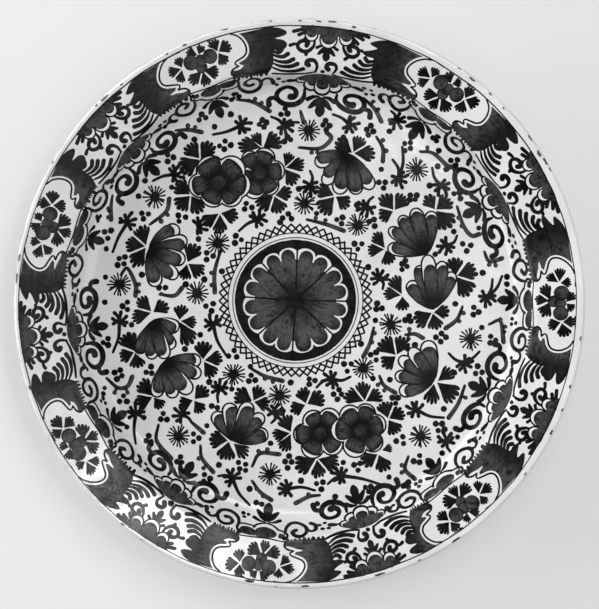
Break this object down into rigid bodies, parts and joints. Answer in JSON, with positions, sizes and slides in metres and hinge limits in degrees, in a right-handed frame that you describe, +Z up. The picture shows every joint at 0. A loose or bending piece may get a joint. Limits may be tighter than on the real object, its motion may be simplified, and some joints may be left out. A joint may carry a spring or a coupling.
{
  "type": "dish",
  "caption": "Wide shallow tin-glazed earthenware dish with a sloped rim, a low steep wall, a flat well and a turned foot ring, painted all over with flowers.",
  "frame": {"origin": "centre of the foot ring's resting face", "axes": "+Z up along the dish's axis, +Y towards the top of the picture, +X towards its right"},
  "size_m": [0.35, 0.35, 0.0418],
  "materials": {
    "fired_clay": "matte",
    "white_glaze": "gloss",
    "back_glaze": "gloss",
    "dark_pigment": "gloss",
    "washed_pigment": "gloss"
  },
  "bodies": {
    "root": {"clay_body": "fired_clay", "foot_ring": "fired_clay", "face_glaze": "white_glaze", "back_glaze": "back_glaze", "base_glaze": "back_glaze"}
  },
  "joints": []
}
